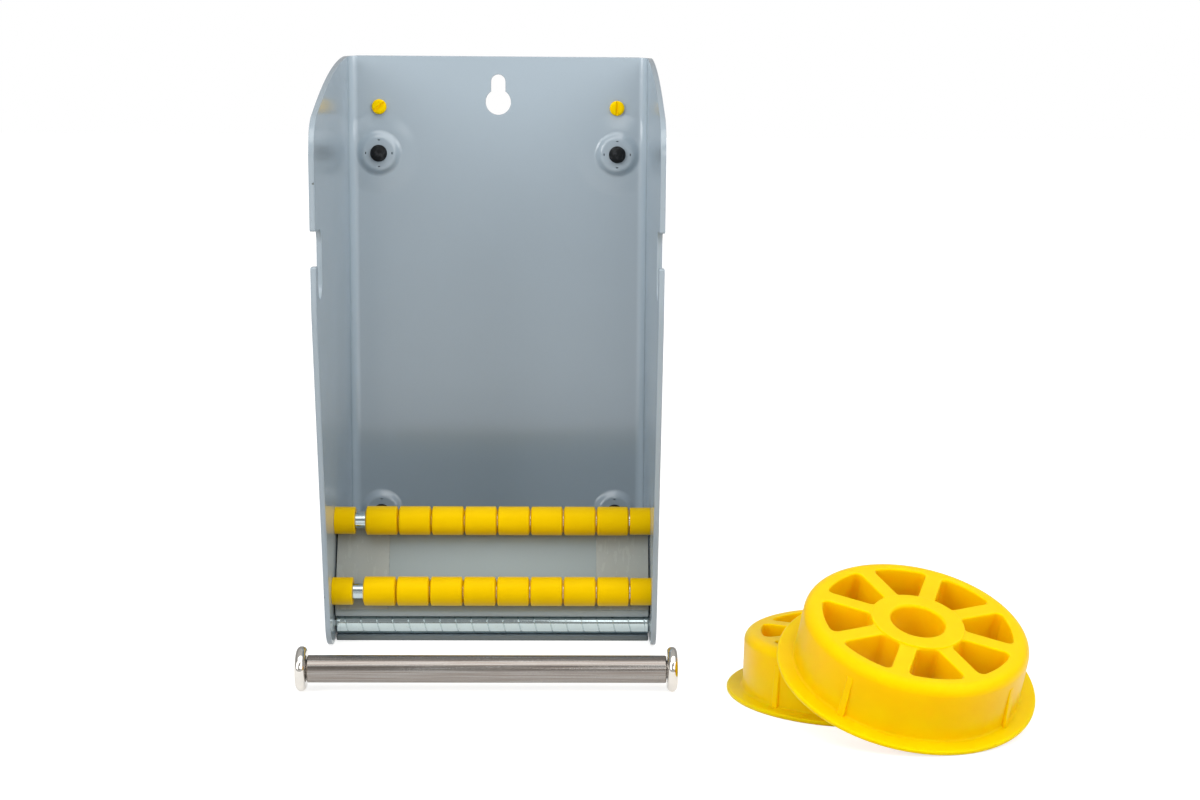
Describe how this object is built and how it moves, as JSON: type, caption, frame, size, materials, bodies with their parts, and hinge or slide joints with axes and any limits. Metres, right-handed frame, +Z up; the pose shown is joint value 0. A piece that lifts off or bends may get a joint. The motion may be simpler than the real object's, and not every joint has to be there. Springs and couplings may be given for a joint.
{
  "type": "label dispenser",
  "caption": "Open sheet-steel label dispenser with loose rollers, a guide plate and a peel rod at its foot, slots for a roll spindle, and the spindle and spoked core hubs lying in front.",
  "frame": {"origin": "middle of the bottom plate's underside, on the surface that the dispenser stands on", "axes": "+X to the right seen from the open front, -Y out of the open front, +Z up"},
  "size_m": [0.25, 0.2195, 0.2228],
  "materials": {
    "grey_paint": "semi-gloss light blue-grey paint",
    "yellow_plastic": "satin moulded plastic",
    "black_rubber": "matt",
    "bright_zinc": "bright zinc-plated, turned",
    "satin_steel": "satin, drawn along its length",
    "polished_nickel": "polished nickel",
    "beige_tape": "thin smooth low-friction tape"
  },
  "bodies": {
    "dispenser": {"body_shell": "grey_paint", "guide_plate": "grey_paint", "guide_strip_left": "beige_tape", "guide_strip_right": "beige_tape", "guide_rivet_left": "bright_zinc", "guide_rivet_right": "bright_zinc", "upper_roller_shaft": "bright_zinc", "upper_roller_collar_left": "yellow_plastic", "upper_roller_screw_left": "bright_zinc", "upper_roller_collar_right": "yellow_plastic", "upper_roller_screw_right": "bright_zinc", "lower_roller_shaft": "bright_zinc", "lower_roller_collar_left": "yellow_plastic", "lower_roller_screw_left": "bright_zinc", "lower_roller_collar_right": "yellow_plastic", "lower_roller_screw_right": "bright_zinc", "plug_left": "yellow_plastic", "plug_right": "yellow_plastic", "foot_upper_left": "black_rubber", "foot_upper_right": "black_rubber", "foot_lower_left": "black_rubber", "foot_lower_right": "black_rubber"},
    "upper_roller_1": {"upper_roller_1": "yellow_plastic"},
    "upper_roller_2": {"upper_roller_2": "yellow_plastic"},
    "upper_roller_3": {"upper_roller_3": "yellow_plastic"},
    "upper_roller_4": {"upper_roller_4": "yellow_plastic"},
    "upper_roller_5": {"upper_roller_5": "yellow_plastic"},
    "upper_roller_6": {"upper_roller_6": "yellow_plastic"},
    "upper_roller_7": {"upper_roller_7": "yellow_plastic"},
    "upper_roller_8": {"upper_roller_8": "yellow_plastic"},
    "lower_roller_1": {"lower_roller_1": "yellow_plastic"},
    "lower_roller_2": {"lower_roller_2": "yellow_plastic"},
    "lower_roller_3": {"lower_roller_3": "yellow_plastic"},
    "lower_roller_4": {"lower_roller_4": "yellow_plastic"},
    "lower_roller_5": {"lower_roller_5": "yellow_plastic"},
    "lower_roller_6": {"lower_roller_6": "yellow_plastic"},
    "lower_roller_7": {"lower_roller_7": "yellow_plastic"},
    "lower_roller_8": {"lower_roller_8": "yellow_plastic"},
    "peel_rod": {"peel_rod": "bright_zinc"},
    "spindle": {"spindle_rod": "satin_steel", "spindle_cap_left": "polished_nickel", "spindle_cap_right": "polished_nickel"},
    "hub_rear": {"hub_rear": "yellow_plastic"},
    "hub_front": {"hub_front": "yellow_plastic"}
  },
  "joints": [
    {"name": "upper_roller_1_spin", "type": "hinge", "parent": "dispenser", "child": "upper_roller_1", "pos_m": [0, -0.0313, 0.046], "axis": [1, 0, 0], "continuous": true},
    {"name": "upper_roller_2_spin", "type": "hinge", "parent": "dispenser", "child": "upper_roller_2", "pos_m": [0, -0.0313, 0.046], "axis": [1, 0, 0], "continuous": true},
    {"name": "upper_roller_3_spin", "type": "hinge", "parent": "dispenser", "child": "upper_roller_3", "pos_m": [0, -0.0313, 0.046], "axis": [1, 0, 0], "continuous": true},
    {"name": "upper_roller_4_spin", "type": "hinge", "parent": "dispenser", "child": "upper_roller_4", "pos_m": [0, -0.0313, 0.046], "axis": [1, 0, 0], "continuous": true},
    {"name": "upper_roller_5_spin", "type": "hinge", "parent": "dispenser", "child": "upper_roller_5", "pos_m": [0, -0.0313, 0.046], "axis": [1, 0, 0], "continuous": true},
    {"name": "upper_roller_6_spin", "type": "hinge", "parent": "dispenser", "child": "upper_roller_6", "pos_m": [0, -0.0313, 0.046], "axis": [1, 0, 0], "continuous": true},
    {"name": "upper_roller_7_spin", "type": "hinge", "parent": "dispenser", "child": "upper_roller_7", "pos_m": [0, -0.0313, 0.046], "axis": [1, 0, 0], "continuous": true},
    {"name": "upper_roller_8_spin", "type": "hinge", "parent": "dispenser", "child": "upper_roller_8", "pos_m": [0, -0.0313, 0.046], "axis": [1, 0, 0], "continuous": true},
    {"name": "lower_roller_1_spin", "type": "hinge", "parent": "dispenser", "child": "lower_roller_1", "pos_m": [0, -0.0428, 0.0212], "axis": [1, 0, 0], "continuous": true},
    {"name": "lower_roller_2_spin", "type": "hinge", "parent": "dispenser", "child": "lower_roller_2", "pos_m": [0, -0.0428, 0.0212], "axis": [1, 0, 0], "continuous": true},
    {"name": "lower_roller_3_spin", "type": "hinge", "parent": "dispenser", "child": "lower_roller_3", "pos_m": [0, -0.0428, 0.0212], "axis": [1, 0, 0], "continuous": true},
    {"name": "lower_roller_4_spin", "type": "hinge", "parent": "dispenser", "child": "lower_roller_4", "pos_m": [0, -0.0428, 0.0212], "axis": [1, 0, 0], "continuous": true},
    {"name": "lower_roller_5_spin", "type": "hinge", "parent": "dispenser", "child": "lower_roller_5", "pos_m": [0, -0.0428, 0.0212], "axis": [1, 0, 0], "continuous": true},
    {"name": "lower_roller_6_spin", "type": "hinge", "parent": "dispenser", "child": "lower_roller_6", "pos_m": [0, -0.0428, 0.0212], "axis": [1, 0, 0], "continuous": true},
    {"name": "lower_roller_7_spin", "type": "hinge", "parent": "dispenser", "child": "lower_roller_7", "pos_m": [0, -0.0428, 0.0212], "axis": [1, 0, 0], "continuous": true},
    {"name": "lower_roller_8_spin", "type": "hinge", "parent": "dispenser", "child": "lower_roller_8", "pos_m": [0, -0.0428, 0.0212], "axis": [1, 0, 0], "continuous": true},
    {"name": "peel_rod_spin", "type": "hinge", "parent": "dispenser", "child": "peel_rod", "pos_m": [0, -0.03229, 0.0068], "axis": [1, 0, 0], "continuous": true},
    {"name": "spindle_lift", "type": "slide", "parent": "dispenser", "child": "spindle", "axis": [0, 0, 1], "range_m": [0, 0.1445]},
    {"name": "hub_rear_lift", "type": "slide", "parent": "dispenser", "child": "hub_rear", "axis": [0, 0, 1], "range_m": [0, 0.12]},
    {"name": "hub_front_lift", "type": "slide", "parent": "hub_rear", "child": "hub_front", "axis": [0, 0, 1], "range_m": [0, 0.12]}
  ]
}
